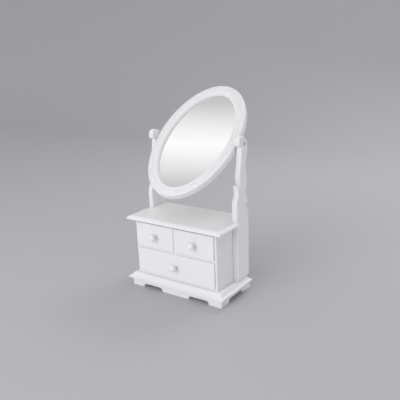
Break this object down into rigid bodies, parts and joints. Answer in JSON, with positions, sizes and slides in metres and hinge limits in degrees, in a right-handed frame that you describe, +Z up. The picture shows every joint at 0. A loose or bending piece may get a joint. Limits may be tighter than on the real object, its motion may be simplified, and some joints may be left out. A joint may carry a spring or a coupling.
{
  "type": "tabletop vanity chest",
  "caption": "Small white lacquered chest of drawers with turned knobs, a moulded top and bracket feet, carrying an oval mirror that tilts between two scroll-cut uprights.",
  "frame": {"origin": "on the floor, on the underside of the front apron's centre foot, below the middle of the case's front plane", "axes": "+X to the right seen from the front, +Y to the back, +Z up; the mirror leans back as in the picture"},
  "size_m": [0.3092, 0.2895, 0.5267],
  "materials": {
    "white_lacquer": "satin white lacquer",
    "plain_wood": "planed, unpainted",
    "hardboard": "pressed board, matte",
    "mirror_silver": "silvered glass",
    "steel": "bright zinc",
    "brass": "plain turned",
    "nylon": "natural white"
  },
  "bodies": {
    "case": {"apron_back": "white_lacquer", "apron_front": "white_lacquer", "apron_left": "white_lacquer", "apron_right": "white_lacquer", "back_panel": "hardboard", "base_board": "white_lacquer", "bottom_board": "white_lacquer", "corner_block_back_left": "plain_wood", "corner_block_back_right": "plain_wood", "corner_block_front_left": "plain_wood", "corner_block_front_right": "plain_wood", "drawer_divider": "white_lacquer", "drawer_shelf": "white_lacquer", "pivot_spacer_left": "nylon", "pivot_spacer_right": "nylon", "side_panel_left": "white_lacquer", "side_panel_right": "white_lacquer", "top_board": "white_lacquer", "top_rail": "white_lacquer", "upright_left": "white_lacquer", "upright_right": "white_lacquer", "upright_screw_lower_left": "steel", "upright_screw_lower_right": "steel", "upright_screw_upper_left": "steel", "upright_screw_upper_right": "steel"},
    "mirror": {"backing_screw_1": "steel", "backing_screw_2": "steel", "backing_screw_3": "steel", "backing_screw_4": "steel", "mirror_backing": "hardboard", "mirror_frame": "white_lacquer", "mirror_glass": "mirror_silver", "pivot_bolt_left": "steel", "pivot_bolt_right": "steel", "pivot_insert_left": "brass", "pivot_insert_right": "brass"},
    "drawer_lower": {"drawer_lower_back": "plain_wood", "drawer_lower_bottom": "hardboard", "drawer_lower_front": "white_lacquer", "drawer_lower_knob": "white_lacquer", "drawer_lower_knob_screw": "steel", "drawer_lower_side_left": "plain_wood", "drawer_lower_side_right": "plain_wood"},
    "drawer_upper_left": {"drawer_upper_left_back": "plain_wood", "drawer_upper_left_bottom": "hardboard", "drawer_upper_left_front": "white_lacquer", "drawer_upper_left_knob": "white_lacquer", "drawer_upper_left_knob_screw": "steel", "drawer_upper_left_side_left": "plain_wood", "drawer_upper_left_side_right": "plain_wood"},
    "drawer_upper_right": {"drawer_upper_right_back": "plain_wood", "drawer_upper_right_bottom": "hardboard", "drawer_upper_right_front": "white_lacquer", "drawer_upper_right_knob": "white_lacquer", "drawer_upper_right_knob_screw": "steel", "drawer_upper_right_side_left": "plain_wood", "drawer_upper_right_side_right": "plain_wood"}
  },
  "joints": [
    {"name": "mirror_tilt", "type": "hinge", "parent": "case", "child": "mirror", "pos_m": [0, 0.1206, 0.3989], "axis": [1, 0, 0], "continuous": true},
    {"name": "lower_drawer_slide", "type": "slide", "parent": "case", "child": "drawer_lower", "axis": [0, -1, 0], "range_m": [0, 0.09]},
    {"name": "upper_left_drawer_slide", "type": "slide", "parent": "case", "child": "drawer_upper_left", "axis": [0, -1, 0], "range_m": [0, 0.09]},
    {"name": "upper_right_drawer_slide", "type": "slide", "parent": "case", "child": "drawer_upper_right", "axis": [0, -1, 0], "range_m": [0, 0.09]}
  ]
}
